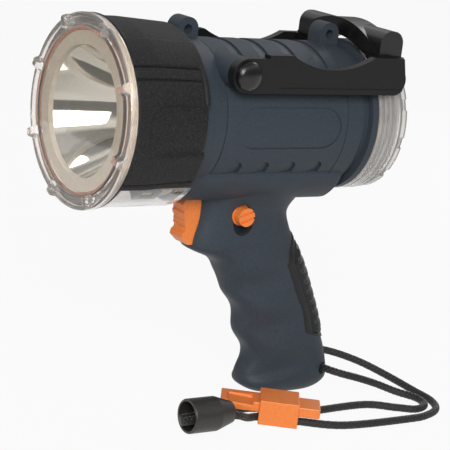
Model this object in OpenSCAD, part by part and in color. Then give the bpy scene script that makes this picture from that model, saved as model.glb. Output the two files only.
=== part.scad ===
// Handheld searchlight: lamp head, barrel, pistol grip, folding handle and wrist lanyard.
// The beam points along -X, +Z is up, and the origin is the middle of the hand grip.
// Inside the modules, x runs back from the front of the lens and z up from the beam's axis.

/* [Head] */
// Radius of the front rim
rim_r = 52; // [48:0.5:56]
// Thickness of the lens flange at the rim
lens_flange_t = 5; // [4:0.5:7]
// Thickness of the lens window
lens_t = 3; // [2:0.5:4]
// Number of finger lugs in the lens groove
lug_count = 8; // [4:1:12]
// How far the lugs stand out of the flange's face
lug_out = 3; // [1:0.5:4]
// Length of the head, from the lens to the rear edge of the rubber
head_l = 51; // [46:1:60]
// Taper of the rubber from the rim to its rear edge
bumper_taper = 2; // [0:0.5:3]
// Thickness of the rubber at the rim
bumper_t = 6.5; // [5:0.5:8]
// Wall of the head tube under the rubber
head_wall = 3; // [2:0.5:4]
// Width of the bezel ring round the reflector
bezel_w = 7.2; // [6.2:0.1:10]
// Wall of the reflector
mirror_wall = 1.5; // [1:0.25:2.5]
// Radius of the hole for the emitter in the reflector
mirror_hole_r = 6; // [5:0.5:7]
// Half angle of the flood window under the head
flood_half = 50; // [40:1:55]
// Wall of the flood window
flood_wall = 2; // [1.5:0.25:3]

/* [Barrel] */
// Radius of the barrel
barrel_r = 41.2; // [40:0.2:43]
// Wall of the barrel
barrel_wall = 3.8; // [3:0.2:4.4]
// Length of the collar behind the rubber
collar_l = 16; // [12:1:20]
// Length of the plain barrel behind the collar
barrel_l = 92.7; // [88:0.5:110]
// Width of the recessed band
band_w = 5; // [3:0.5:8]
// Depth of the recessed band
band_depth = 1.8; // [1:0.2:2.4]
// Width of the rear flange
flange_w = 4.3; // [3:0.5:8]
// Radius of the rear flange
flange_r = 43.2; // [42.6:0.2:45]
// Length of the badge recess
badge_l = 68.5; // [40:0.5:72]
// Height of the badge recess
badge_h = 22.9; // [14:0.5:26]
// Depth of the badge recess
badge_depth = 0.6; // [0.3:0.1:1]
// Number of channels across the top, and of pockets above the keel
channel_count = 4; // [2:1:5]
// Distance from one channel to the next
channel_pitch = 18.1; // [14:0.1:18.5]
// Radius of the hole in each strap eyelet
eyelet_hole_r = 2.6; // [2:0.1:3.2]
// Wall of each strap eyelet round its hole
eyelet_wall = 4; // [3:0.25:5]
// Width of each strap eyelet
eyelet_w = 11; // [7:0.5:14]
// Height of the eyelet holes above the barrel
eyelet_rise = 5; // [4:0.25:6]

/* [Rear cap] */
// Length of the clear cap
cap_l = 19.6; // [16:0.2:26]
// Radius of the clear cap
cap_r = 43.2; // [42.6:0.2:44]
// Width of the seal ring
seal_w = 2; // [1:0.25:3]
// Number of notches round the cap's rim
notch_count = 12; // [6:1:18]
// Number of thread turns on the neck
thread_count = 3; // [2:1:3]
// Distance from one thread turn to the next
thread_pitch = 3.4; // [2.6:0.2:3.4]

/* [Grip] */
// Half width of the grip
grip_half = 16.2; // [14:0.2:19]
// Wall of the grip
grip_wall = 4.4; // [3.8:0.2:5]
// Depth of the finger grooves
finger_depth = 4.6; // [0:0.2:6]
// Distance from one finger groove to the next
finger_pitch = 26; // [20:1:28]
// Half width of the keel's top edge
keel_half = 30.6; // [26:0.2:32]
// Radius of the lanyard hole in the heel
cord_hole_r = 3.6; // [2.6:0.1:4]
// Thickness of the rubber backstrap
strap_t = 2.2; // [1.6:0.2:2.6]
// Number of ribs on the backstrap
strap_ribs = 16; // [8:1:24]

/* [Trigger and lock] */
// Width of the trigger
trigger_w = 12; // [10:0.5:14]
// Travel of the trigger
trigger_travel = 6; // [3:0.5:7]
// Radius of the lock knob
knob_r = 5.3; // [4:0.1:6]
// Travel of the lock knob
knob_travel = 6; // [4:0.5:7]
// How far the knob stands out of the grip
knob_out = 5; // [4:0.5:10]

/* [Handle] */
// Distance of the pivot behind the rubber
pivot_back = 22.3; // [20:0.1:26]
// Height of the pivot above the beam's axis
pivot_z = 28.8; // [26:0.1:30]
// Radius of the arm's eye
eye_r = 9.3; // [8:0.1:9.6]
// Radius of the pivot bolt
bolt_r = 3; // [2:0.1:4]
// Distance between the arms' inner faces
arms_gap = 81; // [80:0.5:90]
// Thickness of each arm
arm_t = 5.5; // [4:0.25:7]
// Gap between the rear eyelet and the crossbar
bar_gap = 4.4; // [3:0.1:6]
// Depth of the crossbar along the barrel
bar_d = 16; // [12:0.5:20]
// Height of the crossbar's top above the beam's axis
bar_top = 54; // [51:0.1:58]
// Radius of the dome on each pivot
dome_r = 7.8; // [6.8:0.1:8.6]

/* [Lanyard] */
// Radius of the cord
cord_r = 2.1; // [1.6:0.05:2.4]
// Radius of the bell on the cord's ends
bell_r = 9.6; // [8.5:0.1:11]
// Length of the bell
bell_l = 28; // [24:0.5:34]
// Length of the cord lock's sleeve
sleeve_l = 22; // [18:0.5:28]
// Width of the cord lock's sleeve
sleeve_w = 24; // [22:0.5:28]
// Length of the cord lock's tongue
tongue_l = 56; // [44:0.5:60]

/* [Hidden] */
fine = 96;

// Clearances
slip = 0.3;
snug = 0.05;

// Where the hand holds the grip
hold_x = 142;
hold_d = 108;

// Stations along the beam's axis
collar_x = head_l + collar_l;
band_x = collar_x + barrel_l;
flange_x = band_x + band_w;
neck_x = flange_x + flange_w;
cap_x = neck_x + seal_w + 2 * snug;
neck_end = cap_x + cap_l - 6.5;
seal_t = 1.6;
tube_x = lens_flange_t + seal_t;
tube_r = rim_r - bumper_t;
bore_r = barrel_r - barrel_wall;
neck_r = flange_r - 4.6;
neck_bore_r = neck_r - 3;
shoulder_x = head_l + 1.2;
shoulder_t = 3;
shell_end = shoulder_x - shoulder_t;

// Light engine
bezel_r = tube_r - head_wall - 0.1;
bezel_x = lens_t + 0.7;
mirror_r = bezel_r - bezel_w - 0.2;
mirror_x = tube_x + 0.05;
board_x = shoulder_x - 5.8;
board_t = 1.6;
mirror_base = board_x - 1.4;
mirror_focal = (mirror_r * mirror_r - mirror_hole_r * mirror_hole_r) / (mirror_base - mirror_x);

// Grip outline: distance below the beam's axis, then the distance back from the lens
front_line = [[36, 80], [58, 80.5], [73, 77.5], [77, 79.5], [84, 96], [92, 102.5], [102, 107.5],
    [128, 120], [146, 126.5], [160, 125.5], [166, 130]];
rear_line = [[36, 154], [46, 147], [55, 142.2], [64, 145], [76, 152], [92, 161], [110, 169.7],
    [128, 177.6], [146, 185], [158, 187.5], [166, 184]];
grip_end = 166;
heel_r = 10;
cavity_end = 138;
cavity_top = 47;
strap_top = 68;
strap_end = 134;
strap_half = 73;
finger_top = 102;
keel_front = head_l + 0.8;
keel_rear = band_x - 1.5;

// Trigger and lock
trigger_x = 69.5;
trigger_top = 47;
trigger_low = 74;
trigger_rear = 91;
tail_in = 1;
knob_x = 103;
knob_d = 55.2;
knob_tilt = 18;
knob_stem_r = knob_r + 0.6;
knob_set = 2.4;
plate_half_x = knob_stem_r + 1;
plate_half_z = knob_stem_r + 0.4;
guide_x = trigger_rear + trigger_travel + 1;
guide_l = 14;
spring_r = 3;
spring_d = 66;
wire_x = 104;

// Handle
pivot_x = head_l + pivot_back;
arm_in = arms_gap / 2;
arm_out = arm_in + arm_t;
washer_t = 0.4;
boss_out = arm_in - washer_t - snug;
arm_low = pivot_z - eye_r;
arm_top = 40;
arm_tail = 2.9;
arm_over = -0.5;
arm_round = 8;
eyelet_front = head_l + 8.5;
eyelet_rear = band_x - 4;
bar_x = eyelet_rear + eyelet_hole_r + eyelet_wall + bar_gap;
bar_half = arm_in - 2.5;
hoop_rise = 1.6;
hoop_fore = 1.4;
bar_round = 7;
bar_seat = 26;
arm_end = bar_x + bar_d + arm_over;
arch_r = max(cap_r, flange_r) + 2.8;
dowel_r = 2;
dowel_z = 33;
rib_x = 115;
rib_l = 22;
rib_t = 5;
rib_low = 58;
screw_d = 53;
screw_r = 1.7;
rib_screws = [rib_x + 5, rib_x + rib_l - 6];

// Lanyard: the floor under the heel, and the places of the lock and the bell on it
floor_z = -grip_end;
cord_z = floor_z + cord_r + 0.1;
hole_x = 178.7;
hole_d = 152;
hole_pull = cord_hole_r - cord_r - slip;
lock_at = [121.5, -48.5];
lock_turn = -36;
lock_bore = 7;
cord_rings = 80;
bell_at = [57, -52];
bell_neck_r = 6.2;
bell_bore_r = 2 * cord_r + 1;
bell_z = floor_z + bell_r;
sleeve_h = 14;
tongue_w = 18;
tongue_t = 5.5;
tongue_z = floor_z + 9;
tongue_back = 5;

// The cord's route, chosen by eye: from the bell through the lock to the heel, and back again
function lock_point(along, across) = [
    lock_at[0] + along * cos(lock_turn) - across * sin(lock_turn),
    lock_at[1] + along * sin(lock_turn) + across * cos(lock_turn), cord_z + 0.9];
cord_route = concat(
    [[bell_at[0] - 5, bell_at[1] - 2.4, bell_z - 1.8], [78, -54.4, -157.2], [90, -53.9, -158.4], [100, -49.4, -162.2]],
    [lock_point(-9, -lock_bore), lock_point(12, -lock_bore), [152, -71.8, cord_z]],
    [[198, -73.6, cord_z], [214, -71.2, cord_z], [226.5, -64, cord_z], [233.5, -51, cord_z]],
    [[233.5, -35, -163.2], [228, -17, -159.8], [218, -1, -155.2], [207, 13.5, -152.6]],
    [[195.5, 22, -151.8], [185.6, 21.6, -151.8], [hole_x + hole_pull + 0.3, 13.5, -hole_d]],
    [[hole_x + hole_pull, 0, -hole_d], [hole_x + hole_pull + 0.3, -12.5, -hole_d], [186, -21.4, -153]],
    [[197, -25, -155.6], [209, -27.4, -159.2], [220, -34.5, -162.8], [227.2, -46, cord_z]],
    [[223.4, -57.2, cord_z], [213, -61.2, cord_z], [202.5, -55.6, cord_z], [186, -46.2, cord_z]],
    [[150, -47, cord_z], lock_point(12, lock_bore), lock_point(-9, lock_bore), [107.6, -33.6, -163.3]],
    [[101.2, -35.4, -163.2], [96.8, -39.8, -162.8], [94.2, -45.2, -161], [90, -48.5, -159]],
    [[84.4, -49.6, -157.5], [74, -49.6, -157.2], [bell_at[0] - 3, bell_at[1] + 2.4, bell_z - 1.8]]);

// Shared shapes

// A shape turned about the beam's axis: points are [radius, distance back]
module turned(points) rotate([0, 90, 0]) rotate_extrude($fn = fine) polygon(points);

// Part of a turned ring, by angles from straight down
module arc_ring(points, from, to)
    rotate([0, 90, 0]) rotate(from) rotate_extrude(angle = to - from, $fn = fine) polygon(points);

function box_points(r0, r1, x0, x1) = [[r0, x0], [r1, x0], [r1, x1], [r0, x1]];

// A pin across the lamp, from one y to another
module cross_pin(x, z, r, y0, y1) translate([x, y1, z]) rotate([90, 0, 0]) cylinder(r = r, h = y1 - y0, $fn = 48);

module both_sides() {
    children();
    mirror([0, 1, 0]) children();
}

// A smooth curve through points of [distance below the axis, value]
function slope_at(p, i) =
    let (a = max(i - 1, 0), b = min(i + 1, len(p) - 1)) (p[b][1] - p[a][1]) / (p[b][0] - p[a][0]);
function span_of(p, d, i = 0) = (i >= len(p) - 2 || d <= p[i + 1][0]) ? i : span_of(p, d, i + 1);
function curve_at(p, d) =
    let (i = span_of(p, d), h = p[i + 1][0] - p[i][0], t = (d - p[i][0]) / h)
    (2 * t * t * t - 3 * t * t + 1) * p[i][1] + (t * t * t - 2 * t * t + t) * slope_at(p, i) * h
    + (3 * t * t - 2 * t * t * t) * p[i + 1][1] + (t * t * t - t * t) * slope_at(p, i + 1) * h;

// Finger grooves fade in below the trigger and out at the heel
function finger_at(d) =
    (d < finger_top || d > finger_top + 2 * finger_pitch - 8) ? 0
    : finger_depth * (1 - cos(360 * (d - finger_top) / finger_pitch)) / 2;
function heel_in(d) = d <= grip_end - heel_r ? 0
    : heel_r * (1 - sqrt(max(0, 1 - pow((d - grip_end + heel_r) / heel_r, 2))));
function strap_at(d) = d <= strap_top || d >= strap_end ? 24
    : strap_half * sqrt(min(1, max(0.11, (d - strap_top) / 16), 1))
      * sqrt(min(1, max(0.3, (strap_end - d) / 6)));

// A point of the grip's skin: depth, angle from the rear, outward offset
function signed_power(v, p) = sign(v) * pow(abs(v), p);
function grip_point(d, turn, grow) =
    let (front = curve_at(front_line, d) + finger_at(d), rear = curve_at(rear_line, d))
    let (middle = (front + rear) / 2, half = (rear - front) / 2 + grow - heel_in(d))
    let (width = grip_half + grow - heel_in(d))
    [middle + half * signed_power(cos(turn), 0.77), -width * signed_power(sin(turn), 0.77), -d];

// One half of the grip as a solid: a ring of points at each depth, run a little past the joint face
sector_steps = 5;
side_steps = 9;
function half_ring(d, grow, recess, over) =
    let (edge = strap_at(d), cut = d > strap_top && d < strap_end ? recess : 0)
    let (skin = concat([for (k = [0:sector_steps]) grip_point(d, edge * k / sector_steps, grow - cut)],
        [for (k = [0:side_steps]) grip_point(d, edge + 0.5 + (179.5 - edge) * k / side_steps, grow)]))
    concat([skin[0] + [0, over, 0]], skin, [skin[len(skin) - 1] + [0, over, 0]]);
module swept(rings) {
    n = len(rings[0]);
    m = len(rings);
    points = [for (r = rings) for (p = r) p];
    sides = [for (i = [0:m - 2]) for (k = [0:n - 1])
        let (a = i * n + k, b = i * n + (k + 1) % n) each [[a, b + n, b], [a, a + n, b + n]]];
    ends = [[for (k = [0:n - 1]) k], [for (k = [n - 1:-1:0]) (m - 1) * n + k]];
    polyhedron(points, concat(sides, ends), convexity = 6);
}
function steps(from, to, step) = [for (k = [0:ceil((to - from) / step)]) min(to, from + k * step)];
skin_depths = concat(steps(38, strap_top, 5), [strap_top + 0.2], steps(strap_top + 3, strap_end - 2, 4),
    [strap_end - 0.2, strap_end], steps(strap_end + 4, grip_end - heel_r, 5),
    [for (t = [30, 55, 75]) grip_end - heel_r + heel_r * sin(t)]);
module grip_half_skin() swept([for (d = skin_depths) half_ring(d, 0, strap_t, 1)]);
module grip_half_cavity() swept([for (d = steps(cavity_top, cavity_end, 7)) half_ring(d, -grip_wall, 0, 2)]);

// Head

module front_lens() color("gainsboro", 0.5) {
    difference() {
        turned([[0, 0.7], [rim_r - 8, 0.7], [rim_r - 7.5, 0], [rim_r - 1, 0], [rim_r, 1],
            [rim_r, lens_flange_t], [bezel_r + 0.4, lens_flange_t], [bezel_r + 0.4, lens_t + 0.7], [0, lens_t + 0.7]]);
        turned(box_points(rim_r - 6.5, rim_r - 2, -1, 2.2));
    }
    for (k = [0:lug_count - 1]) rotate([(k + 0.45) * 360 / lug_count, 0, 0])
        translate([-lug_out, -lug_w / 2, rim_r - lug_in]) cube([lug_out + 2.4, lug_w, lug_in + 0.6]);
}

module front_seal() color("chocolate")
    turned(box_points(tube_r - head_wall + 0.2, tube_r - 0.1, lens_flange_t, tube_x));

module lens_bezel() color("darkgray")
    turned([[mirror_r + 0.2, bezel_x], [bezel_r, bezel_x], [bezel_r, mirror_x], [mirror_r + 0.2, mirror_x]]);

module reflector() color("silver") {
    steps_n = 14;
    xs = [for (k = [0:steps_n]) mirror_x + (mirror_base - mirror_x) * k / steps_n];
    inner = [for (x = xs) [sqrt(mirror_hole_r * mirror_hole_r + mirror_focal * (mirror_base - x)), x]];
    outer = [for (k = [steps_n:-1:1]) [inner[k][0] + mirror_wall, xs[k]]];
    turned(concat(inner, [[mirror_hole_r, board_x], [mirror_hole_r + 7, board_x]],
        [[mirror_hole_r + 7, mirror_base]], outer, [[bezel_r, mirror_x + 1.5], [bezel_r, mirror_x]]));
}

module led_emitter() color("gold") {
    translate([board_x - 1.2, -3.5, -3.5]) cube([1.2, 7, 7]);
    translate([board_x - 3, 0, 0]) rotate([0, 90, 0]) cylinder(r = 2.6, h = 1.8, $fn = 48);
}

module led_board() color("white") turned(box_points(0, 15, board_x, board_x + board_t));

module heat_sink() color("lightslategray") {
    turned([[0, board_x + board_t], [16, board_x + board_t], [16, shoulder_x], [bore_r - 0.1, shoulder_x],
        [bore_r - 0.1, shoulder_x + 5], [0, shoulder_x + 5]]);
    intersection() {
        for (k = [-4:4]) translate([shoulder_x + 4.9, -36, k * 7.4 - 1]) cube([17, 72, 2]);
        turned(box_points(0, bore_r - 1, shoulder_x + 4.5, shoulder_x + 30));
    }
}

module head_bumper() color("#2b2a29") difference() {
    turned([[tube_r + snug, lens_flange_t], [rim_r - 1, lens_flange_t], [rim_r, lens_flange_t + 1], [rim_r, head_l * 0.4],
        [rim_r - bumper_taper, head_l - 1], [rim_r - bumper_taper - 1, head_l], [tube_r + snug, head_l]]);
    arc_ring(box_points(tube_r - 1, rim_r + 2, lens_flange_t + 1.5, head_l + 1), -flood_half - 0.5, flood_half + 0.5);
    both_sides() for (a = [30, 38]) rotate([-a, 0, 0])
        translate([10, -rim_r - 2, -0.4]) cube([head_l, 2 + bumper_taper + 1, 0.8]);
}

module flood_window() color("gainsboro", 0.5) difference() {
    arc_ring(box_points(tube_r + snug, rim_r - bumper_taper * 0.6, lens_flange_t + 1.7, head_l - 0.2), -flood_half, flood_half);
    arc_ring(box_points(tube_r - 1, rim_r - bumper_taper * 0.6 - flood_wall, lens_flange_t + 4, head_l - 2.5),
        -flood_half + 3, flood_half - 3);
}

lug_w = 5;
lug_in = 6.6;
tray_r = tube_r - head_wall - 1.5;
tray_x = 10;
tray_wall = 1.4;
tray_rise = 4.3;
module flood_tray() color("whitesmoke") difference() {
    arc_ring(box_points(tray_r - tray_wall, tray_r + tray_rise, tray_x + slip, head_l - 4 - slip), -flood_half + 3.3, flood_half - 3.3);
    arc_ring(box_points(tray_r, tray_r + 2 * tray_rise, tray_x + slip + tray_wall, head_l - 4 - slip - tray_wall),
        -flood_half + 5, flood_half - 5);
}

led_turn = flood_half - 10;
module flood_leds() color("khaki") for (a = [-led_turn, led_turn])
    arc_ring(box_points(tray_r, tray_r + 1.4, 25, 32), a - 4.5, a + 4.5);

// Barrel

collar_rise = 2.4;
collar_lip = 0.4;
module barrel_outside() turned([[0, shell_end], [tube_r, shell_end], [tube_r, head_l], [barrel_r + collar_rise, head_l + 0.1],
    [barrel_r + collar_lip, collar_x - 0.5], [barrel_r - 0.6, collar_x - 0.2], [barrel_r - 0.6, collar_x + 0.4],
    [barrel_r, collar_x + 0.6], [barrel_r, band_x - 11.6], [barrel_r - 0.5, band_x - 11.4],
    [barrel_r - 0.5, band_x - 10.9], [barrel_r, band_x - 10.7], [barrel_r, band_x],
    [barrel_r - band_depth, band_x], [barrel_r - band_depth, flange_x], [flange_r, flange_x],
    [flange_r, neck_x], [0, neck_x]]);

module barrel_inside() turned([[0, shell_end - 1], [30, shell_end - 1], [30, shoulder_x],
    [bore_r, shoulder_x], [bore_r, band_x - 2], [neck_bore_r, band_x], [neck_bore_r, neck_x + 1], [0, neck_x + 1]]);

// The head's inner tube stands on the barrel's shoulder, and the flood tray sits in its opening
module head_shell() color("#3f474f") difference() {
    turned(box_points(tube_r - head_wall, tube_r, tube_x, shell_end));
    arc_ring(box_points(tray_r - 3, tube_r + 2, tray_x, head_l - 4), -flood_half + 3, flood_half - 3);
}

// The threaded neck stands on the barrel's flange
module barrel_neck() color("#3f474f") {
    turned(box_points(neck_bore_r, neck_r, neck_x, neck_end));
    for (k = [0:thread_count - 1])
        turned(box_points(neck_bore_r + 1, neck_r + 0.7, neck_x + 3.5 + k * thread_pitch, neck_x + 4.7 + k * thread_pitch));
}

module eyelet_body(x) {
    cross_pin(x, barrel_r + eyelet_rise, eyelet_hole_r + eyelet_wall, -eyelet_w / 2, eyelet_w / 2);
    translate([x - eyelet_hole_r - eyelet_wall, -eyelet_w / 2, bore_r + 0.5])
        cube([2 * (eyelet_hole_r + eyelet_wall), eyelet_w, barrel_r + eyelet_rise - bore_r - 0.5]);
}

module barrel_housing() color("#3f474f") difference() {
    union() {
        barrel_outside();
        for (x = [eyelet_front, eyelet_rear]) eyelet_body(x);
        both_sides() cross_pin(pivot_x, pivot_z, eye_r - 0.2, -boss_out, -8);
        translate([rib_x, -rib_t / 2, -rib_low]) cube([rib_l, rib_t, rib_low - bore_r]);
    }
    barrel_inside();
    for (x = [eyelet_front, eyelet_rear])
        cross_pin(x, barrel_r + eyelet_rise, eyelet_hole_r, -eyelet_w, eyelet_w);
    both_sides() cross_pin(pivot_x, pivot_z, bolt_r - 0.5, -boss_out - 1, -20);
    for (x = rib_screws) cross_pin(x, -screw_d, screw_r + 0.2, -rib_t, rib_t);
    badge_recess();
    channels();
    translate([wire_x, 0, -barrel_r - 3]) cylinder(r = 3, h = 8, $fn = 48);
}

badge_x = collar_x + 9;
module badge_recess() both_sides() intersection() {
    translate([badge_x, -barrel_r - 2, -0.6]) rotate([90, 0, 0]) translate([0, 0, -10]) linear_extrude(10) {
        translate([badge_h / 2, 0]) circle(r = badge_h / 2, $fn = 48);
        translate([badge_l - badge_h / 2, 0]) circle(r = badge_h / 2, $fn = 48);
        translate([badge_h / 2, -badge_h / 2]) square([badge_l - badge_h, badge_h]);
    }
    turned(box_points(barrel_r - badge_depth, barrel_r + 3, collar_x, band_x));
}

// Channels across the top are ramps: flush in front, deep at the rear edge
module channels() for (k = [0:channel_count - 1]) {
    x = collar_x + 19.2 + k * channel_pitch;
    arc_ring([[barrel_r + 0.2, x - 8], [barrel_r + 0.2, x], [barrel_r - 1, x]], 138, 222);
    both_sides() pocket(x - 1);
}

// A pocket above the keel is a ramp with a round top: flush in front, deep at the rear edge
pocket_w = 9.5;
pocket_h = 9.7;
pocket_low = 47.5;
pocket_depth = 1.6;
module pocket(x) intersection() {
    rotate([pocket_low, 0, 0]) translate([x - pocket_w, 0, -barrel_r - 2]) linear_extrude(8) {
        square([pocket_w, pocket_h - pocket_w / 2]);
        translate([pocket_w / 2, pocket_h - pocket_w / 2]) circle(r = pocket_w / 2, $fn = 48);
    }
    turned([[barrel_r + 0.3, x - pocket_w - 1], [barrel_r + 0.3, x + 1], [barrel_r - pocket_depth, x + 1]]);
}

// Rear end

// The seal sits in a counterbore of the cap, under the cap's front lip
cap_lip = 1.3;
module rear_seal() color("darkorange")
    turned(box_points(neck_r + 1, cap_r - cap_lip - slip, neck_x + snug, neck_x + seal_w));

module rear_cap() color("gainsboro", 0.5) difference() {
    turned([[neck_r + 1, cap_x], [cap_r - cap_lip, cap_x], [cap_r - cap_lip, neck_x + 2 * snug],
        [cap_r, neck_x + 2 * snug], [cap_r, cap_x + cap_l * 0.55], [cap_r - 1.8, cap_x + cap_l * 0.6],
        [cap_r - 1.8, cap_x + cap_l - 6.3], [cap_r - 0.6, cap_x + cap_l - 5.6], [cap_r - 0.6, cap_x + cap_l - 0.8],
        [cap_r - 1.4, cap_x + cap_l], [cap_r - 4.6, cap_x + cap_l], [cap_r - 5.2, cap_x + cap_l - 2], [0, cap_x + cap_l - 2],
        [0, cap_x + cap_l - 4.6], [neck_r + 1, cap_x + cap_l - 4.6]]);
    for (k = [0:notch_count - 1]) rotate([(k + 0.4) * 360 / notch_count, 0, 0])
        translate([cap_x + cap_l - 3.6, -3.2, cap_r - 2.4]) cube([5, 6.4, 4]);
}

plate_x = neck_end - 4;
module rear_plate() color("#2a2c2e") difference() {
    turned(box_points(0, neck_bore_r - snug, plate_x, plate_x + 3));
    translate([plate_x - 1, 0, -12]) rotate([0, 90, 0]) cylinder(r = 4.1, h = 6, $fn = 48);
}

module charge_socket() color("#17181a") difference() {
    translate([plate_x - 8, 0, -12]) rotate([0, 90, 0]) cylinder(r = 4, h = 11.5, $fn = 48);
    translate([plate_x - 4, 0, -12]) rotate([0, 90, 0]) cylinder(r = 3.1, h = 9, $fn = 48);
}

// Battery and electronics

cell_r = 9.1;
cells_room = 27.7;
cell_l = barrel_l - cells_room;
cell_ring = 16;
cells_x = shoulder_x + 32;
module battery_cells() color("#4c7fa8") for (k = [0:2]) rotate([k * 120, 0, 0])
    translate([cells_x, 0, cell_ring]) rotate([0, 90, 0]) cylinder(r = cell_r, h = cell_l, $fn = 64);

module battery_holder() color("#202326") difference() {
    union() {
        for (x = [cells_x - 3, cells_x + cell_l]) turned(box_points(0, bore_r - snug, x, x + 3));
        for (k = [0:2]) rotate([k * 120 + 60, 0, 0]) translate([cells_x - 1, 0, 28])
            rotate([0, 90, 0]) cylinder(r = 2.5, h = cell_l + 5.5, $fn = 32);
    }
    translate([cells_x - 5, -4, -bore_r - 1]) cube([cell_l + 12, 8, 8]);
}

driver_x = cells_x + cell_l + 4.5;
module driver_board() color("#1f5a3a") {
    turned(box_points(0, 31, driver_x, driver_x + 1.6));
    translate([driver_x + 1.5, -8, -4]) cube([3, 16, 12]);
}

wire_r = 1.6;
wire_z = -bore_r + 3.2;
module wiring() color("#b02a20") {
    translate([wire_x, 0, -switch_d + switch_h / 2]) cylinder(r = wire_r, h = switch_d - switch_h / 2 + wire_z, $fn = 24);
    translate([wire_x, 0, wire_z]) sphere(r = wire_r, $fn = 24);
    translate([wire_x, 0, wire_z]) rotate([0, 90, 0]) cylinder(r = wire_r, h = driver_x - wire_x - 0.2, $fn = 24);
    translate([driver_x - wire_r - 0.2, 0, wire_z]) cylinder(r = wire_r, h = -wire_z - 30.8, $fn = 24);
}

// Grip

module keel() translate([keel_front, 0, 0]) rotate([90, 0, 90]) linear_extrude(keel_rear - keel_front)
    polygon([[-keel_half, -27.4], [-keel_half, -30], [-keel_half + 3.4, -36.5], [-keel_half + 10.5, -43],
        [-grip_half + 2, -46], [1, -46], [1, -27.4]]);

boss_places = [[141, 108], [160, 142]];
module grip_half(head_side) difference() {
    union() {
        difference() {
            union() {
                grip_half_skin();
                keel();
            }
            grip_half_cavity();
        }
        for (p = boss_places) if (p[1] < cavity_end) cross_pin(p[0], -p[1], 4, -grip_half + grip_wall - 0.6, 0.5);
        for (x = rib_screws) cross_pin(x, -screw_d, 4, -grip_half + grip_wall - 0.6, -rib_t / 2 - snug);
        translate([guide_x, -spring_r - 2, -spring_d - spring_r - 2]) cube([guide_l, spring_r + 2.5, 2 * spring_r + 4]);
        translate([guide_x, -grip_half + grip_wall - 0.6, -spring_d - spring_r - 2])
            cube([guide_l, grip_half - grip_wall, 2.5]);
    }
    translate([0, 0, -grip_end - 10]) cube([keel_rear + 60, 20, grip_end]);
    turned([[0, 0], [barrel_r + collar_rise + snug, 0], [barrel_r + collar_rise + snug, head_l + 0.1],
        [barrel_r + collar_lip + snug, collar_x - 0.5], [barrel_r + collar_lip + snug, collar_x],
        [barrel_r + snug, collar_x], [barrel_r + snug, band_x + 20], [0, band_x + 20]]);
    translate([rib_x - snug, -rib_t / 2 - snug, -rib_low - slip]) cube([rib_l + 2 * snug, rib_t, rib_low]);
    translate([trigger_x, -trigger_w / 2 - slip, -trigger_low - slip])
        cube([trigger_rear + trigger_travel + 0.5 - trigger_x, trigger_w, trigger_low - trigger_top + 2 * slip]);
    translate([guide_x - 1, 0, -spring_d]) rotate([0, 90, 0]) cylinder(r = spring_r + slip, h = guide_l - 1, $fn = 48);
    translate([wire_x, 0, -screw_d - 2]) cylinder(r = 3, h = screw_d, $fn = 48);
    cross_pin(hole_x, -hole_d, cord_hole_r, -grip_half - 4, 1);
    for (p = screw_places) {
        cross_pin(p[0], -p[1], head_side ? screw_r + 0.2 : screw_r, -grip_half + (head_side ? -2 : 3.5), 1);
        if (head_side) cross_pin(p[0], -p[1], 3.4, -grip_half - 4, -grip_half + 3);
    }
}
screw_places = concat(boss_places, [for (x = rib_screws) [x, screw_d]]);

switch_x = guide_x + 1;
switch_l = 15;
switch_w = 6;
switch_h = 6.4;
switch_d = spring_d - spring_r - 2 - switch_h / 2;

module grip_left() color("#3f474f") difference() {
    grip_half(false);
    lock_slot();
}
module grip_right() color("#3f474f") mirror([0, 1, 0]) grip_half(true);

// The knob's slot slants back as it goes down
module on_slot() translate([knob_x, 0, -knob_d]) rotate([0, -knob_tilt, 0]) children();
module lock_slot() on_slot() {
    for (z = [0, -knob_travel]) cross_pin(0, z, knob_stem_r + slip, -grip_half - 4, -grip_half + grip_wall + knob_set + 1);
    translate([-knob_stem_r - slip, -grip_half - 4, -knob_travel])
        cube([2 * (knob_stem_r + slip), grip_wall + knob_set + 5, knob_travel]);
    translate([-plate_half_x - slip, -grip_half + grip_wall + knob_set - slip, -plate_half_z - knob_travel - slip])
        cube([2 * (plate_half_x + slip), 3, 2 * (plate_half_z + slip) + knob_travel]);
}

module grip_screws() color("dimgray") for (p = screw_places) {
    cross_pin(p[0], -p[1], screw_r, -grip_half + 4, grip_half - 3);
    cross_pin(p[0], -p[1], 3, grip_half - 3, grip_half - 0.8);
}

// The backstrap fills the recess in the grip's rear, with ribs across it
strap_out = 0.7;
strap_sides = 8;
function rib_at(i) = i % 2 == 0 ? 0 : 0.5;
function strap_edge(d) = strap_at(d) - 1.2;
strap_depths = steps(strap_top + 0.5, strap_end - 0.5, (strap_end - strap_top - 1) / (2 * strap_ribs));
function strap_ring(i) =
    let (d = strap_depths[i], edge = strap_edge(d))
    concat([for (k = [-strap_sides:strap_sides]) grip_point(d, edge * k / strap_sides, strap_out + rib_at(i))],
        [for (k = [strap_sides:-1:-strap_sides]) grip_point(d, edge * k / strap_sides, -strap_t + 0.25)]);
module backstrap() color("#1f1e1e") swept([for (i = [0:len(strap_depths) - 1]) strap_ring(i)]);

// Trigger and lock

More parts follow.
